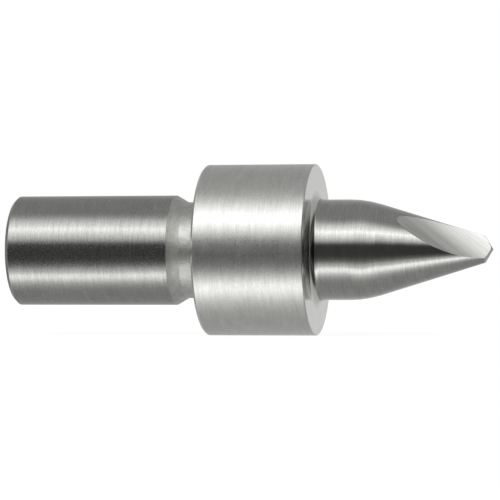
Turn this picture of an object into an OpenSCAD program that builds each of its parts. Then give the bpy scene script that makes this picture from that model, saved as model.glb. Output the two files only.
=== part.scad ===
// Thermal friction drill for a 10.9 mm hole, the core size of an M12 thread.
// Everything is turned about the X axis. X = 0 is the flat end of the shank, and the point looks
// along +X. The head is the collar and the point in one piece of carbide. Its stub is brazed into
// a blind bore in the steel shank.

/* [Shank] */
// Diameter of the parallel shank
shank_d = 12; // [11.5:0.1:13]
// Length of the shank at its full diameter, end chamfer included
shank_len = 18; // [15:0.1:60]
// Chamfer round the end of the shank
shank_chamfer = 0.4; // [0.3:0.05:1.5]

/* [Neck] */
// Diameter of the neck between the shank and the collar
neck_d = 10.5; // [10:0.1:11]
// Distance from the shank to the back face of the collar
neck_gap = 3.45; // [3:0.05:5]
// Angle between the axis and the shoulder that falls from the shank to the neck
shoulder_angle = 30; // [30:1:45]
// Fillet at the foot of the shoulder
neck_fillet = 0.3; // [0.1:0.05:0.5]

/* [Collar] */
// Diameter of the collar
collar_d = 18.6; // [17:0.1:22]
// Length of the collar
collar_len = 12.1; // [8:0.1:16]
// Chamfer round the back edge of the collar
collar_chamfer = 0.25; // [0.1:0.05:0.8]

/* [Point] */
// Diameter of the point where it leaves the collar, which is the hole that it makes
point_d = 10.9; // [10.4:0.1:11.4]
// Length of the point, from the collar's front face to the very tip
point_len = 19.2; // [18:0.1:24]
// Angle between the long cone and the axis
cone_angle = 17.2; // [16.5:0.1:19]
// Radius of the soft bend between the cylinder and the long cone
cone_blend = 11.6; // [5:0.2:12]
// Fillet where the point grows out of the collar's face
root_fillet = 1; // [0.3:0.05:1.2]
// Diameter at which the long cone ends and the blunt tip begins
tip_d = 2.9; // [2.6:0.05:3.2]
// Full angle of the blunt tip
tip_angle = 118; // [110:1:140]

/* [Ground hollows] */
// Radius of the grinding wheel's edge that leaves each hollow
hollow_r = 8; // [7.6:0.1:8.2]
// Turn of the first hollow about the axis
hollow_roll = 61; // [0:0.5:180]
// Angle at which a hollow dives towards the axis
hollow_dive = 17; // [15:0.5:20]
// Angle at which a hollow slants across the point
hollow_slant = 33; // [28:0.5:38]
// Height of the wheel's centre line over the axis, at the tip
hollow_height = 8.6; // [8.5:0.05:8.9]

/* [Braze joint] */
// Diameter of the head's stub
stub_d = 6; // [5:0.1:7]
// Length of the head's stub, behind the collar
stub_len = 10; // [6:0.5:12]
// Thickness of the braze film
braze_gap = 0.1; // [0.05:0.01:0.15]
// Fillet of braze in the corner between the neck and the collar
braze_fillet = 0.25; // [0.1:0.05:0.4]

/* [Hidden] */
$fn = 96;

shank_steel = "#81817d";
ground_carbide = "#b2b2b0";
silver_braze = "#c4ba96";

fillet_steps = 12;
bend_steps = 24;
edge_break = 0.15;
stub_chamfer = 0.3;

// Radii
shank_r = shank_d / 2;
neck_r = neck_d / 2;
collar_r = collar_d / 2;
point_r = point_d / 2;
tip_r = tip_d / 2;
stub_r = stub_d / 2;
bore_r = stub_r + braze_gap;

// Stations along X
collar_x = shank_len + neck_gap;
neck_end_x = collar_x - braze_gap;
stub_end_x = collar_x - stub_len;
bore_floor_x = stub_end_x - braze_gap;
face_x = collar_x + collar_len;
tip_x = face_x + point_len;
tip_base_x = tip_x - tip_r / tan(tip_angle / 2);
cone_x = tip_base_x - (point_r - tip_r) / tan(cone_angle);
bend_x = cone_x - cone_blend * tan(cone_angle / 2);
shoulder_end_x = shank_len + (shank_r - neck_r) / tan(shoulder_angle);
neck_fillet_x = shoulder_end_x + neck_fillet * tan(shoulder_angle / 2);

// Points on an arc in an outline, where an outline is a list of [radius, x]
function arc(centre, r, from, to, steps) = [
    for (i = [0:steps])
        let (a = from + (to - from) * i / steps)
        [centre.x + r * cos(a), centre.y + r * sin(a)]
];

// A solid turned about the X axis from an outline
module turned(outline) {
    rotate([0, 90, 0]) rotate_extrude() polygon(outline);
}

module shank() {
    color(shank_steel) turned(concat(
        [[0, 0], [shank_r - shank_chamfer, 0], [shank_r, shank_chamfer]],
        [[shank_r, shank_len]],
        arc([neck_r + neck_fillet, neck_fillet_x], neck_fillet, 180 + shoulder_angle, 180,
            fillet_steps),
        [[neck_r, neck_end_x], [bore_r, neck_end_x]],
        [[bore_r, bore_floor_x], [0, bore_floor_x]]
    ));
}

// The wheel that grinds one hollow, as a long cylinder lying along its travel
module hollow_wheel() {
    travel = 36;
    translate([tip_x, 0, 0])
        rotate([hollow_roll, 0, 0])
            translate([0, 0, hollow_height])
                rotate([0, hollow_dive, 0])
                    rotate([0, 90, -hollow_slant])
                        cylinder(h = travel, r = hollow_r, center = true);
}

module carbide_head() {
    color(ground_carbide) difference() {
        turned(concat(
            [[0, stub_end_x], [stub_r - stub_chamfer, stub_end_x]],
            [[stub_r, stub_end_x + stub_chamfer], [stub_r, collar_x]],
            [[collar_r - collar_chamfer, collar_x], [collar_r, collar_x + collar_chamfer]],
            [[collar_r, face_x - edge_break], [collar_r - edge_break, face_x]],
            arc([point_r + root_fillet, face_x + root_fillet], root_fillet, 270, 180, fillet_steps),
            arc([point_r - cone_blend, bend_x], cone_blend, 0, cone_angle, bend_steps),
            [[tip_r, tip_base_x], [0, tip_x]]
        ));
        for (side = [0, 180]) rotate([side, 0, 0]) hollow_wheel();
    }
}

module braze_joint() {
    color(silver_braze) turned(concat(
        [[0, bore_floor_x], [bore_r, bore_floor_x], [bore_r, neck_end_x], [neck_r, neck_end_x]],
        arc([neck_r + braze_fillet, collar_x - braze_fillet], braze_fillet, 180, 90, fillet_steps),
        [[stub_r, collar_x], [stub_r, stub_end_x + stub_chamfer]],
        [[stub_r - stub_chamfer, stub_end_x], [0, stub_end_x]]
    ));
}

shank();
carbide_head();
braze_joint();
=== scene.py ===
"""The looks of a thermal friction drill: a ground shank, a satin collar and a slender point.

Everything is in metres in the part's own frame. X runs along the tool's axis, from the flat end of
the shank to the tip. Lengths named here are in millimetres until a mesh is made.
"""

import math

import bpy
import numpy as np
from mathutils import Euler, Matrix, Vector


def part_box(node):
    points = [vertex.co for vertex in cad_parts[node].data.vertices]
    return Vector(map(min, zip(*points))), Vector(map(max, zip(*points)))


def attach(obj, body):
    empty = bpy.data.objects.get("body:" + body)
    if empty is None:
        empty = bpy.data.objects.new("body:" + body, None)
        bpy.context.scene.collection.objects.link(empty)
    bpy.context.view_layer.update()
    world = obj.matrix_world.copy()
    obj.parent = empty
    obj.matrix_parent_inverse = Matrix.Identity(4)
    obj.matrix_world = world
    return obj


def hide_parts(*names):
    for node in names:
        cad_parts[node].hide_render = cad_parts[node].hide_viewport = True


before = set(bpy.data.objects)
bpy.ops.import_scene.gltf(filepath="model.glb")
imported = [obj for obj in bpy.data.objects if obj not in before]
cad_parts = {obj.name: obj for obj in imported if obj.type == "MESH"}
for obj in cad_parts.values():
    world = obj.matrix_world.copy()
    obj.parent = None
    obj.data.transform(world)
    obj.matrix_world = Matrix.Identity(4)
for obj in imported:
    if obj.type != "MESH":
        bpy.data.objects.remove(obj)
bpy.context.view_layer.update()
MM = 0.001

# ---- Sizes, in millimetres ---------------------------------------------------------------------


def reach(node):
    """Lowest x, highest x and outer radius of a CAD node."""
    low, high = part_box(node)
    return low.x / MM, high.x / MM, high.z / MM


SHANK_X, NECK_END_X, SHANK_R = reach("shank")
STUB_END_X, TIP_X, COLLAR_R = reach("carbide_head")
BORE_FLOOR_X, COLLAR_X, BRAZE_R = reach("braze_joint")

SHANK_LEN = 18.0
SHANK_CHAMFER = 0.4
SHOULDER_ANGLE = math.radians(30)
NECK_FILLET = 0.3
BRAZE_FILLET = 0.25
NECK_R = BRAZE_R - BRAZE_FILLET
BRAZE_GAP = COLLAR_X - NECK_END_X
STUB_R = 3.0
STUB_CHAMFER = 0.3
BORE_R = STUB_R + BRAZE_GAP

POINT_LEN = 19.2
FACE_X = TIP_X - POINT_LEN
COLLAR_CHAMFER = 0.25
ROOT_FILLET = 1.0
POINT_R = 5.45
CONE_ANGLE = math.radians(17.2)
CONE_BLEND = 11.6
TIP_R = 1.45
TIP_HALF_ANGLE = math.radians(118 / 2)
TIP_BASE_X = TIP_X - TIP_R / math.tan(TIP_HALF_ANGLE)
CONE_X = TIP_BASE_X - (POINT_R - TIP_R) / math.tan(CONE_ANGLE)
BLEND_END_X = CONE_X + CONE_BLEND * math.tan(CONE_ANGLE / 2) * math.cos(CONE_ANGLE)

HOLLOW_R = 8.0
HOLLOW_ROLL = math.radians(61)
HOLLOW_DIVE = math.radians(17)
HOLLOW_SLANT = math.radians(33)
HOLLOW_HEIGHT = 8.6

BROKEN_EDGE = 0.05
SOFT_EDGE = 0.15

# How finely the meshes are cut: steps round half a turn's land and across a hollow, rows along the
# cone's and the tip's part of a hollow, and the most degrees of an arc in one step
LAND_STEPS = 96
HOLLOW_STEPS = 36
CONE_ROWS = 72
TIP_ROWS = 14
ARC_STEP = 6
# The straight that is kept beside each arc
HOLD = 0.02
# Edges that turn by more than this are shaded sharp
SHARP_ANGLE = math.radians(28)
# How often an interval is halved in the search for an edge, and how far short of the very tip it starts
HALVINGS = 50
HAIR = 0.0001
# How far a finish reaches past the edge where it ends
NEAR_EDGE = 0.0125
# The share of the root fillet, next to the point, that has the point's finish
ROOT_LIKE_POINT = 0.12

# ---- Outlines ----------------------------------------------------------------------------------


def rounded(corners):
    """An outline of (x, r) through corners (x, r, rounding), with an arc at each rounded corner.

    A short straight is kept beside each arc, so that shading turns within the arc only.
    """
    made = []
    for i, (x, r, rounding) in enumerate(corners):
        here = Vector((x, r))
        if rounding == 0 or i in (0, len(corners) - 1):
            made.append(here)
            continue
        back = (Vector(corners[i - 1][:2]) - here).normalized()
        ahead = (Vector(corners[i + 1][:2]) - here).normalized()
        turn = math.pi - back.angle(ahead)
        tangent = rounding * math.tan(turn / 2)
        centre = here + (back + ahead).normalized() * (rounding / math.cos(turn / 2))
        start = here + back * tangent - centre
        way = math.copysign(1, start.y * back.x - start.x * back.y)
        steps = max(3, math.ceil(math.degrees(turn) / ARC_STEP))
        made.append(here + back * (tangent + HOLD))
        for k in range(steps + 1):
            a = way * turn * k / steps
            spoke = Matrix.Rotation(a, 2) @ start
            made.append(centre + spoke)
        made.append(here + ahead * (tangent + HOLD))
    return [(p.x, max(p.y, 0.0)) for p in made]


def shank_outline():
    shoulder_x = SHANK_LEN + (SHANK_R - NECK_R) / math.tan(SHOULDER_ANGLE)
    return rounded([
        (SHANK_X, 0, 0),
        (SHANK_X, SHANK_R - SHANK_CHAMFER, BROKEN_EDGE),
        (SHANK_X + SHANK_CHAMFER, SHANK_R, BROKEN_EDGE),
        (SHANK_LEN, SHANK_R, BROKEN_EDGE),
        (shoulder_x, NECK_R, NECK_FILLET),
        (NECK_END_X, NECK_R, 0),
        (NECK_END_X, BORE_R, 0),
        (BORE_FLOOR_X, BORE_R, 0),
        (BORE_FLOOR_X, 0, 0),
    ])


def braze_outline():
    return rounded([
        (BORE_FLOOR_X, 0, 0),
        (BORE_FLOOR_X, BORE_R, 0),
        (NECK_END_X, BORE_R, 0),
        (NECK_END_X, NECK_R, 0),
        (COLLAR_X - BRAZE_FILLET, NECK_R, 0),
        (COLLAR_X - BRAZE_FILLET * 0.3, NECK_R + BRAZE_FILLET * 0.3, BRAZE_FILLET * 0.6),
        (COLLAR_X, BRAZE_R, 0),
        (COLLAR_X, STUB_R, 0),
        (STUB_END_X + STUB_CHAMFER, STUB_R, 0),
        (STUB_END_X, STUB_R - STUB_CHAMFER, 0),
        (STUB_END_X, 0, 0),
    ])


def head_outline():
    """The head's outline as far as the plain cone, where the rows of the ground hollows take over."""
    return rounded([
        (STUB_END_X, 0, 0),
        (STUB_END_X, STUB_R - STUB_CHAMFER, 0),
        (STUB_END_X + STUB_CHAMFER, STUB_R, 0),
        (COLLAR_X, STUB_R, 0),
        (COLLAR_X, COLLAR_R - COLLAR_CHAMFER, BROKEN_EDGE),
        (COLLAR_X + COLLAR_CHAMFER, COLLAR_R, BROKEN_EDGE),
        (FACE_X, COLLAR_R, SOFT_EDGE),
        (FACE_X, POINT_R, ROOT_FILLET),
        (CONE_X, POINT_R, CONE_BLEND),
        (BLEND_END_X + 0.5, cone_radius(BLEND_END_X + 0.5), 0),
    ])


# ---- The ground hollows ------------------------------------------------------------------------


def cone_radius(x):
    """Radius of the point's long cone, and then of its blunt tip."""
    cone = POINT_R - (x - CONE_X) * math.tan(CONE_ANGLE)
    tip = (TIP_X - x) * math.tan(TIP_HALF_ANGLE)
    return min(cone, tip)


def wheel_line():
    """A point on the centre line of the wheel that grinds the first hollow, and its direction."""
    turn = Matrix.Rotation(HOLLOW_ROLL, 3, "X")
    lean = Matrix.Rotation(HOLLOW_DIVE, 3, "Y") @ Matrix.Rotation(-HOLLOW_SLANT, 3, "Z")
    point = Vector((TIP_X, 0, 0)) + turn @ Vector((0, 0, HOLLOW_HEIGHT))
    return np.array(point), np.array(turn @ lean @ Vector((1, 0, 0)))


WHEEL_POINT, WHEEL_WAY = wheel_line()


def hollow_radius(x, angle):
    """How far out from the axis the first hollow is met, at a station x and at angles about X."""
    angle = np.atleast_1d(angle)
    out = np.stack([np.zeros_like(angle), np.cos(angle), np.sin(angle)], axis=-1)
    start = np.array([x, 0, 0]) - WHEEL_POINT
    start = start - (start @ WHEEL_WAY) * WHEEL_WAY
    out = out - (out @ WHEEL_WAY)[:, None] * WHEEL_WAY
    a = (out * out).sum(-1)
    b = out @ start
    c = start @ start - HOLLOW_R ** 2
    inside = b * b - a * c
    met = (-b - np.sqrt(np.maximum(inside, 0))) / a
    return np.where((inside > 0) & (met > 0), met, np.inf)


def deepest(x):
    """The angle at which the first hollow comes nearest to the axis at x, and that distance."""
    around = np.linspace(0, 2 * math.pi, 721)
    for _ in range(3):
        met = hollow_radius(x, around)
        best = around[int(np.argmin(met))]
        step = around[1] - around[0]
        around = np.linspace(best - step, best + step, 41)
    return best, float(hollow_radius(x, best)[0])


def edges_of_hollow(x):
    """The two angles at which the first hollow's edges cross the station x."""
    middle = deepest(x)[0]
    found = []
    for side in (-1, 1):
        near, far = 0.0, math.pi / 2
        for _ in range(HALVINGS):
            half = (near + far) / 2
            if hollow_radius(x, middle + side * half)[0] < cone_radius(x):
                near = half
            else:
                far = half
        found.append(middle + side * near)
    return found


def end_of_hollow(outside, inside):
    """The station between outside and inside at which the hollow begins to cut."""
    for _ in range(HALVINGS):
        x = (outside + inside) / 2
        if deepest(x)[1] < cone_radius(x):
            inside = x
        else:
            outside = x
    return inside


# ---- Meshes ------------------------------------------------------------------------------------


def ring(x, r, angles):
    return [(x, r * math.cos(a), r * math.sin(a)) for a in angles]


class Skin:
    """Rows of points joined into faces, each with the number of its finish."""

    def __init__(self):
        self.points, self.faces, self.finishes = [], [], []

    def add(self, points):
        first = len(self.points)
        self.points += [(x * MM, y * MM, z * MM) for x, y, z in points]
        return list(range(first, len(self.points)))

    def face(self, corners, finish):
        corners = [c for i, c in enumerate(corners) if c != corners[i - 1]]
        self.faces.append(corners)
        self.finishes.append(finish)

    def join(self, row, following, finish):
        """Faces between two rows of the same length, or from a row to a single point."""
        if len(row) == 1:
            row = row * len(following)
        if len(following) == 1:
            following = following * len(row)
        for i in range(len(row) - 1):
            self.face([row[i], row[i + 1], following[i + 1], following[i]], finish)

    def turned(self, outline, angles, finish_of):
        """A turned stretch. It gives back the last row."""
        row = None
        for i, (x, r) in enumerate(outline):
            points = ring(x, r, angles) if r > 0 else [(x, 0, 0)]
            following = self.add(points)
            if len(following) > 1:
                following.append(following[0])
            if row:
                self.join(row, following, finish_of(outline[i - 1], outline[i]))
            row = following
        return row

    def made(self, name, finishes):
        mesh = bpy.data.meshes.new(name)
        mesh.from_pydata(self.points, [], self.faces)
        for finish in finishes:
            mesh.materials.append(finish)
        for face, finish in zip(mesh.polygons, self.finishes):
            face.material_index = finish
            face.use_smooth = True
        mesh.set_sharp_from_angle(angle=SHARP_ANGLE)
        mesh.validate()
        piece = bpy.data.objects.new(name, mesh)
        bpy.context.scene.collection.objects.link(piece)
        return piece


def even_angles(first, steps):
    return [first + 2 * math.pi * i / steps for i in range(steps)]


def put_in_frame(piece, node):
    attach(piece, "root")
    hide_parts(node)


def make_shank(finishes):
    end, barrel, neck, inside = range(4)

    def finish_of(a, b):
        r = (a[1] + b[1]) / 2
        x = (a[0] + b[0]) / 2
        if x < SHANK_X + SHANK_CHAMFER + NEAR_EDGE and r < SHANK_R:
            return end
        if r <= BORE_R or x > NECK_END_X - HOLD:
            return inside
        return barrel if r > SHANK_R - NEAR_EDGE else neck

    skin = Skin()
    skin.turned(shank_outline(), even_angles(0, 2 * LAND_STEPS), finish_of)
    return skin.made("shank_ground_and_turned", finishes)


def make_braze(finishes):
    skin = Skin()
    skin.turned(braze_outline(), even_angles(0, 2 * LAND_STEPS), lambda a, b: 0)
    return skin.made("braze_fillet_and_film", finishes)


def hollow_stations(first, last):
    """Stations along a hollow, close together at its round ends, with one where the tip begins."""
    cone = [first + (TIP_BASE_X - first) * (1 - math.cos(math.pi / 2 * i / CONE_ROWS))
            for i in range(1, CONE_ROWS)]
    tip = [TIP_BASE_X + (last - TIP_BASE_X) * math.sin(math.pi / 2 * i / TIP_ROWS)
           for i in range(TIP_ROWS)]
    return cone + tip


def make_head(finishes):
    face, collar, root, point, tip_end, hollow_one, hollow_two, inside = range(8)

    def finish_of(a, b):
        x, r = (a[0] + b[0]) / 2, (a[1] + b[1]) / 2
        if r <= STUB_R or x < COLLAR_X:
            return inside
        if x < COLLAR_X + COLLAR_CHAMFER and r < COLLAR_R:
            return face
        if r > COLLAR_R - SOFT_EDGE / 3:
            return collar
        if r > POINT_R + ROOT_FILLET - HOLD:
            return face
        return root if r > POINT_R + ROOT_FILLET * ROOT_LIKE_POINT else point

    skin = Skin()
    first = end_of_hollow(BLEND_END_X, TIP_BASE_X - 1)
    last = end_of_hollow(TIP_X - HAIR, TIP_BASE_X)
    start_angle = deepest(first)[0]
    end_angle = deepest(last)[0]
    outline = head_outline() + [(first, cone_radius(first))]
    row = skin.turned(outline, even_angles(start_angle, 2 * LAND_STEPS), finish_of)

    # Each row is cut into a hollow and a land, twice. A land is what is left of the cone.
    def cut(indices, count):
        hollows, lands = [], []
        for side in range(2):
            at = side * (HOLLOW_STEPS + LAND_STEPS)
            hollows.append(indices[at:at + HOLLOW_STEPS + 1])
            lands.append([indices[(at + HOLLOW_STEPS + i) % count] for i in range(LAND_STEPS + 1)])
        return hollows, lands

    hollows = [[row[0]], [row[LAND_STEPS]]]
    lands = [row[:LAND_STEPS + 1], row[LAND_STEPS:]]
    for x in hollow_stations(first, last):
        low, high = edges_of_hollow(x)
        points = []
        for side in range(2):
            across = np.linspace(low, high, HOLLOW_STEPS, endpoint=False)
            deep = np.minimum(hollow_radius(x, across), cone_radius(x))
            points += [(x, r * math.cos(a + side * math.pi), r * math.sin(a + side * math.pi))
                       for a, r in zip(across, deep)]
            land = np.linspace(high, low + math.pi, LAND_STEPS, endpoint=False)
            points += ring(x, cone_radius(x), land + side * math.pi)
        indices = skin.add(points)
        next_hollows, next_lands = cut(indices, len(indices))
        land_finish = tip_end if x > TIP_BASE_X else point
        for side in range(2):
            skin.join(hollows[side], next_hollows[side], (hollow_one, hollow_two)[side])
            skin.join(lands[side], next_lands[side], land_finish)
        hollows, lands = next_hollows, next_lands

    closing = skin.add(ring(last, cone_radius(last), even_angles(end_angle, 2 * LAND_STEPS)))
    closing.append(closing[0])
    tip = skin.add([(TIP_X, 0, 0)])
    ends = [closing[:LAND_STEPS + 1], closing[LAND_STEPS:]]
    for side in range(2):
        skin.join(hollows[side], [ends[side][0]], (hollow_one, hollow_two)[side])
        skin.join(lands[side], ends[side], tip_end)
    skin.join(closing, tip, tip_end)
    return skin.made("carbide_collar_and_point", finishes)


# ---- Materials ---------------------------------------------------------------------------------


# The range that most of a noise's values lie in
NOISE_RANGE = (0.3, 0.7)
# Roughness of the dull grains in a satin finish, and how softly each gives way to the bright ones
DULL_GRAIN = 0.36
GRAIN_EDGE = 0.03
# How far the rubbed wear and its painted edge highlight reach on either side of an edge, in millimetres
WEAR_AND_HIGHLIGHT_WIDTH = 0.22
# The palest that the painted edge highlight makes rubbed metal
PALEST_EDGE_HIGHLIGHT = 0.92
# How much weaker blue is than red and green in ground metal
WARMTH = 0.035


class Finish:
    """A metal finish, built up node by node. Coordinates are millimetres in the part's frame."""

    def __init__(self, name):
        self.material = bpy.data.materials.new(name)
        self.material.use_nodes = True
        self.tree = self.material.node_tree
        self.shader = self.tree.nodes["Principled BSDF"]
        self.shader.inputs["Metallic"].default_value = 1.0
        place = self.tree.nodes.new("ShaderNodeTexCoord").outputs["Object"]
        self.place = self.vector("SCALE", place, scale=1 / MM)

    def put(self, socket, value):
        if isinstance(value, bpy.types.NodeSocket):
            self.tree.links.new(value, socket)
        else:
            socket.default_value = value

    def vector(self, operation, a, b=None, scale=None):
        node = self.tree.nodes.new("ShaderNodeVectorMath")
        node.operation = operation
        self.put(node.inputs[0], a)
        if b is not None:
            self.put(node.inputs[1], b)
        if scale is not None:
            self.put(node.inputs["Scale"], scale)
        return node.outputs["Value" if operation in ("LENGTH", "DOT_PRODUCT") else "Vector"]

    def math(self, operation, a, b=0.0):
        node = self.tree.nodes.new("ShaderNodeMath")
        node.operation = operation
        self.put(node.inputs[0], a)
        self.put(node.inputs[1], b)
        return node.outputs[0]

    def noise(self, stretch, detail=2.0, rough=0.5, place=None):
        node = self.tree.nodes.new("ShaderNodeTexNoise")
        self.put(node.inputs["Vector"], self.vector("MULTIPLY", place or self.place, stretch))
        node.inputs["Scale"].default_value = 1.0
        node.inputs["Detail"].default_value = detail
        node.inputs["Roughness"].default_value = rough
        return node.outputs["Fac"]

    def spread(self, value, low, high, to_low, to_high, smooth=False):
        node = self.tree.nodes.new("ShaderNodeMapRange")
        node.interpolation_type = "SMOOTHSTEP" if smooth else "LINEAR"
        for name, number in (("From Min", low), ("From Max", high),
                             ("To Min", to_low), ("To Max", to_high)):
            node.inputs[name].default_value = number
        self.put(node.inputs["Value"], value)
        return node.outputs["Result"]

    def swing(self, noise, low, high):
        """The usual range of a noise, spread from low to high."""
        return self.spread(noise, *NOISE_RANGE, low, high)

    def blend(self, share, a, b):
        node = self.tree.nodes.new("ShaderNodeMix")
        node.data_type = "RGBA"
        self.put(node.inputs["Factor"], share)
        self.put(node.inputs["A"], a)
        self.put(node.inputs["B"], b)
        return node.outputs["Result"]

    def near(self, x, width):
        """1 on the station x, falling to 0 a width away, with a ragged edge."""
        along = self.vector("DOT_PRODUCT", self.place, (1.0, 0.0, 0.0))
        away = self.math("ABSOLUTE", self.math("SUBTRACT", along, x))
        ragged = self.math("ADD", away, self.swing(self.noise((5, 5, 5)), 0, width * 0.8))
        return self.spread(ragged, 0.0, width, 1.0, 0.0, smooth=True)

    def bump(self, height, depth, under=None):
        node = self.tree.nodes.new("ShaderNodeBump")
        node.inputs["Distance"].default_value = depth * MM
        self.put(node.inputs["Height"], height)
        if under is not None:
            self.put(node.inputs["Normal"], under)
        return node.outputs["Normal"]

    def done(self, colour, roughness, normal):
        self.put(self.shader.inputs["Base Color"], colour)
        self.put(self.shader.inputs["Roughness"], roughness)
        self.put(self.shader.inputs["Normal"], normal)
        return self.material


def grey(tone, warmth=0.0):
    return (tone, tone, tone * (1 - warmth), 1.0)


def ground_round(name, tone, rough, line_depth, streak, satin=0.0, worn_and_highlit_at=(), cloud=0.06):
    """Cylindrical grinding: fine lines round the axis, faint clouds, and rubbed edges, rougher from
    wear and paler from a painted edge highlight.

    Satin is the share of dull grains among the bright ones.
    """
    f = Finish(name)
    fine = f.noise((8, 0.5, 0.5), detail=3, rough=0.65)
    broad = f.noise((2.6, 0.3, 0.3), detail=2)
    clouds = f.noise((0.7, 0.6, 0.6), detail=4, rough=0.6)
    specks = f.noise((10, 8, 8), detail=2, rough=0.6)
    lines = f.math("ADD", f.swing(fine, -streak, streak),
                   f.swing(broad, -streak * 0.4, streak * 0.4))
    grain = f.math("ADD", lines, f.swing(specks, -streak, streak))
    shade = f.math("ADD", grain, f.swing(clouds, 0.5 - cloud, 0.5 + cloud))
    colour = f.blend(shade, grey(tone * 0.72, WARMTH), grey(tone * 1.28, WARMTH))
    roughness = f.swing(clouds, rough * 0.88, rough * 1.12)
    if satin:
        grains = f.noise((30, 30, 30), detail=1)
        limit = 0.62 - 0.24 * satin
        dull = f.spread(grains, limit - GRAIN_EDGE, limit + GRAIN_EDGE, 0.0, DULL_GRAIN - rough)
        roughness = f.math("ADD", roughness, dull)
    for x in worn_and_highlit_at:
        rubbed_and_highlit = f.near(x, WEAR_AND_HIGHLIGHT_WIDTH)
        # Painted edge highlight: the colour turns paler near the edge; the added roughness below is the
        # wear
        colour = f.blend(f.math("MULTIPLY", rubbed_and_highlit, 0.4), colour, grey(min(tone * 1.3, PALEST_EDGE_HIGHLIGHT)))
        roughness = f.math("ADD", roughness, f.math("MULTIPLY", rubbed_and_highlit, 0.07))
    normal = f.bump(fine, line_depth)
    normal = f.bump(specks, line_depth * 0.25, under=normal)
    return f.done(colour, roughness, normal)


def ground_flat(name, tone, rough, line_depth, streak):
    """A face ground or turned square to the axis: fine rings about the axis."""
    f = Finish(name)
    out = f.vector("LENGTH", f.vector("MULTIPLY", f.place, (0.0, 1.0, 1.0)))
    spun = f.tree.nodes.new("ShaderNodeCombineXYZ")
    f.put(spun.inputs["X"], out)
    slow = f.vector("MULTIPLY", f.place, (0.0, 0.02, 0.02))
    spun = f.vector("ADD", spun.outputs["Vector"], slow)
    rings = f.noise((14, 14, 14), detail=3, rough=0.6, place=spun)
    clouds = f.noise((0.6, 0.4, 0.4), detail=3)
    shade = f.math("ADD", f.swing(rings, -streak, streak), f.swing(clouds, 0.42, 0.58))
    colour = f.blend(shade, grey(tone * 0.75, WARMTH), grey(tone * 1.25, WARMTH))
    roughness = f.swing(clouds, rough * 0.85, rough * 1.15)
    return f.done(colour, roughness, f.bump(rings, line_depth))


def ground_along(name, side, tone, rough, line_depth, streak):
    """A hollow left by a wheel: fine straight lines along the wheel's travel."""
    f = Finish(name)
    way = Vector(WHEEL_WAY) * Vector((1, side, side))
    across = way.orthogonal().normalized()
    other = way.cross(across)
    turned = f.tree.nodes.new("ShaderNodeCombineXYZ")
    for socket, direction in zip(turned.inputs, (across, other, way)):
        f.put(socket, f.vector("DOT_PRODUCT", f.place, tuple(direction)))
    place = turned.outputs["Vector"]
    fine = f.noise((7, 7, 0.2), detail=3, rough=0.65, place=place)
    broad = f.noise((2.2, 2.2, 0.12), detail=2, place=place)
    clouds = f.noise((0.8, 0.8, 0.8), detail=3)
    lines = f.math("ADD", f.swing(fine, -streak, streak), f.swing(broad, -streak, streak))
    shade = f.math("ADD", lines, f.swing(clouds, 0.45, 0.55))
    colour = f.blend(shade, grey(tone * 0.75, WARMTH), grey(tone * 1.25, WARMTH))
    roughness = f.swing(broad, rough * 0.85, rough * 1.2)
    normal = f.bump(fine, line_depth)
    normal = f.bump(broad, line_depth * 3, under=normal)
    return f.done(colour, roughness, normal)


def raw_skin(name, tone, rough, grain_depth, warmth):
    """A skin that no grinding wheel has reached: grainy, dull and a little uneven in colour.

    The neck has one, and so has the braze as it set.
    """
    f = Finish(name)
    grains = f.noise((5.5, 5.5, 5.5), detail=4, rough=0.65)
    blotches = f.noise((1.6, 1.1, 1.1), detail=3, rough=0.6)
    rings = f.noise((7, 0.3, 0.3), detail=2)
    shade = f.math("ADD", f.swing(grains, -0.2, 0.2), f.swing(blotches, 0.3, 0.7))
    colour = f.blend(shade, grey(tone * 0.72, warmth * 1.5), grey(tone * 1.25, warmth * 0.6))
    roughness = f.swing(grains, rough * 0.82, rough * 1.2)
    normal = f.bump(grains, grain_depth)
    normal = f.bump(rings, grain_depth * 0.4, under=normal)
    return f.done(colour, roughness, normal)


# ---- Stage -------------------------------------------------------------------------------------

# The camera stands a little towards the tip from square on, several frame widths away
CAMERA_AZIMUTH = math.radians(11.4)
CAMERA_ROLL = math.radians(0.16)
FRAME_WIDTH = 54.5 * MM
DISTANCE_IN_WIDTHS = 5.83
SENSOR = 36.0
AIM_X = 26.12 * MM

# Half the floor's width, in metres
FLOOR_REACH = 3.0
FLOOR_COLOUR = (0.15, 0.15, 0.15, 1)
FLOOR_GLOW = 0.93


def make_camera():
    data = bpy.data.cameras.new("camera")
    data.sensor_width = SENSOR
    data.lens = SENSOR * DISTANCE_IN_WIDTHS
    data.clip_start, data.clip_end = 0.01, 20.0
    camera = bpy.data.objects.new("camera", data)
    bpy.context.scene.collection.objects.link(camera)
    back = Vector((math.sin(CAMERA_AZIMUTH), -math.cos(CAMERA_AZIMUTH), 0))
    camera.location = Vector((AIM_X, 0, 0)) + back * FRAME_WIDTH * DISTANCE_IN_WIDTHS
    level = Euler((math.pi / 2, 0, CAMERA_AZIMUTH)).to_matrix()
    camera.rotation_euler = (level @ Matrix.Rotation(-CAMERA_ROLL, 3, "Z")).to_euler()
    bpy.context.scene.camera = camera


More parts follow.
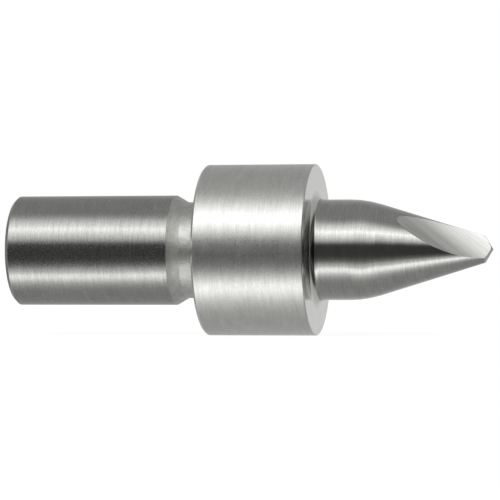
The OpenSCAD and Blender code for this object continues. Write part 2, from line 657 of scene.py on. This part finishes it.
def make_floor():
    """A pale, glowing floor that the collar rests on. It shows in no reflection."""
    z = -COLLAR_R * MM
    mesh = bpy.data.meshes.new("floor")
    corners = [(x * FLOOR_REACH, y * FLOOR_REACH, z) for x, y in ((-1, -1), (1, -1), (1, 1), (-1, 1))]
    mesh.from_pydata(corners, [], [(0, 1, 2, 3)])
    material = bpy.data.materials.new("floor_white")
    material.use_nodes = True
    shader = material.node_tree.nodes["Principled BSDF"]
    shader.inputs["Base Color"].default_value = FLOOR_COLOUR
    shader.inputs["Roughness"].default_value = 0.9
    shader.inputs["Specular IOR Level"].default_value = 0.0
    shader.inputs["Emission Color"].default_value = (1, 1, 1, 1)
    shader.inputs["Emission Strength"].default_value = FLOOR_GLOW
    mesh.materials.append(material)
    floor = bpy.data.objects.new("floor", mesh)
    floor.visible_glossy = False
    floor.visible_diffuse = False
    floor.visible_shadow = False
    bpy.context.scene.collection.objects.link(floor)


# How bright the studio is, by its angle about X in degrees from the camera's side upwards. There is a
# dark gap for the camera, a long soft strip above it and one below it, and grey walls behind.
LIGHT_ROUND = (
    (-180, 0.75), (-160, 0.60), (-125, 0.50), (-100, 0.50), (-86, 0.54), (-75, 0.76), (-66, 1.25),
    (-60, 1.95), (-53, 2.50), (-48, 2.10), (-44, 1.30), (-36, 0.80), (-32, 0.42), (-26, 0.22),
    (-19, 0.11), (-12, 0.09), (8, 0.09), (12, 0.13), (17, 0.50), (21, 0.98), (27, 1.48), (35, 2.15),
    (43, 2.90), (50, 2.10), (60, 1.48), (66, 1.02), (72, 0.66), (80, 0.48), (130, 0.47),
    (160, 0.60), (180, 0.75),
)
# The strips aren't quite parallel to the tool. Each pair is how far a direction leans along X, and what
# its angle is then multiplied by before it is looked up above.
UPPER_STRIP_LEAN = ((-0.24, 0.93), (-0.16, 1.09), (0.10, 1.0), (0.36, 1.0), (0.46, 0.76))
LOWER_STRIP_LEAN = ((-0.24, 0.93), (-0.16, 1.18), (0.10, 1.02))
# How much of that light is left, by how far a direction leans along X. On the camera's side the strips
# stop short of the tip's end, and it is dark beyond them. On the far side the light only gets weaker.
LIGHT_ALONG_FRONT = ((-0.90, 0.60), (-0.50, 1.0), (0.45, 1.0), (0.58, 0.04), (0.985, 0.04), (1.0, 0.15))
LIGHT_ALONG_BACK = ((-0.90, 0.60), (-0.50, 1.0), (0.80, 1.0), (0.96, 0.60), (1.0, 0.30))
# The angle about X over which the camera's side gives way to the far side
FRONT_TO_BACK = (95, 120)


def make_light():
    """A studio of long soft strips and grey walls, as bright as its angle about the tool's axis."""
    world = bpy.data.worlds.new("studio")
    bpy.context.scene.world = world
    world.use_nodes = True
    tree = world.node_tree
    tree.nodes.clear()

    def math_node(operation, a, b=0.0):
        node = tree.nodes.new("ShaderNodeMath")
        node.operation = operation
        for socket, value in zip(node.inputs, (a, b)):
            if isinstance(value, bpy.types.NodeSocket):
                tree.links.new(value, socket)
            else:
                socket.default_value = value
        return node.outputs[0]

    def fade(value, start, end, low, high):
        node = tree.nodes.new("ShaderNodeMapRange")
        for name, number in (("From Min", start), ("From Max", end),
                             ("To Min", low), ("To Max", high)):
            node.inputs[name].default_value = number
        tree.links.new(value, node.inputs["Value"])
        return node.outputs["Result"]

    def table(value, pairs):
        """The value's place in a table of pairs, with straight lines between them."""
        found = pairs[0][1]
        for (start, low), (end, high) in zip(pairs, pairs[1:]):
            found = math_node("ADD", found, fade(value, start, end, 0.0, high - low))
        return found

    def between(share, a, b):
        """From a to b as the share goes from 0 to 1."""
        return math_node("ADD", a, math_node("MULTIPLY", share, math_node("SUBTRACT", b, a)))

    split = tree.nodes.new("ShaderNodeSeparateXYZ")
    way = tree.nodes.new("ShaderNodeTexCoord").outputs["Generated"]
    tree.links.new(way, split.inputs[0])
    front = math_node("MULTIPLY", split.outputs["Y"], -1.0)
    angle = math_node("ARCTAN2", split.outputs["Z"], front)
    angle = math_node("MULTIPLY", angle, 180 / math.pi)
    along = split.outputs["X"]
    upper = math_node("GREATER_THAN", angle, 0.0)
    lean = between(upper, table(along, LOWER_STRIP_LEAN), table(along, UPPER_STRIP_LEAN))
    bright = table(math_node("MULTIPLY", angle, lean), LIGHT_ROUND)
    far_side = fade(math_node("ABSOLUTE", angle), *FRONT_TO_BACK, 0.0, 1.0)
    left = between(far_side, table(along, LIGHT_ALONG_FRONT), table(along, LIGHT_ALONG_BACK))
    bright = math_node("MULTIPLY", bright, left)

    seen = tree.nodes.new("ShaderNodeBackground")
    seen.inputs["Strength"].default_value = 1.0
    seen.inputs["Color"].default_value = (1, 1, 1, 1)
    lit = tree.nodes.new("ShaderNodeBackground")
    tree.links.new(bright, lit.inputs["Strength"])
    either = tree.nodes.new("ShaderNodeMixShader")
    out = tree.nodes.new("ShaderNodeOutputWorld")
    tree.links.new(tree.nodes.new("ShaderNodeLightPath").outputs["Is Camera Ray"], either.inputs[0])
    tree.links.new(lit.outputs[0], either.inputs[1])
    tree.links.new(seen.outputs[0], either.inputs[2])
    tree.links.new(either.outputs[0], out.inputs["Surface"])
    view = bpy.context.scene.view_settings
    view.view_transform = "Standard"
    view.look = "None"


# ---- The tool ----------------------------------------------------------------------------------


def make_tool():
    turned_end = ground_flat("shank_end_turned", tone=0.5, rough=0.26, line_depth=0.004, streak=0.1)
    # The edges listed as worn are rougher from wear and paler from a painted edge highlight
    barrel = ground_round("shank_barrel_ground", tone=0.40, rough=0.12, line_depth=0.0007,
                          streak=0.21, satin=0.05, worn_and_highlit_at=(SHANK_X + SHANK_CHAMFER, SHANK_LEN))
    neck = raw_skin("neck_raw_skin", tone=0.59, rough=0.34, grain_depth=0.045, warmth=0.04)
    shank = make_shank([turned_end, barrel, neck, turned_end])
    put_in_frame(shank, "shank")

    face = ground_flat("collar_face_ground", tone=0.92, rough=0.20, line_depth=0.001, streak=0.08)
    collar = ground_round("collar_satin_ground", tone=0.68, rough=0.15, line_depth=0.001,
                          streak=0.15, satin=0.8, worn_and_highlit_at=(COLLAR_X + COLLAR_CHAMFER, FACE_X),
                          cloud=0.05)
    root = ground_round("root_fillet_ground", tone=0.84, rough=0.18, line_depth=0.001, streak=0.08)
    point = ground_round("point_fine_ground", tone=0.44, rough=0.12, line_depth=0.0006,
                         streak=0.18, worn_and_highlit_at=(TIP_BASE_X,))
    tip_end = ground_round("tip_dulled", tone=0.9, rough=0.8, line_depth=0.001, streak=0.1)
    hollows = [ground_along(f"hollow_{n}_ground", side, tone=0.71, rough=0.38, line_depth=0.002,
                            streak=0.2)
               for n, side in ((1, 1), (2, -1))]
    head = make_head([face, collar, root, point, tip_end, *hollows, face])
    put_in_frame(head, "carbide_head")

    set_braze = raw_skin("braze_as_set", tone=0.6, rough=0.38, grain_depth=0.006, warmth=0.1)
    braze = make_braze([set_braze])
    put_in_frame(braze, "braze_joint")


make_camera()
make_light()
make_floor()
make_tool()
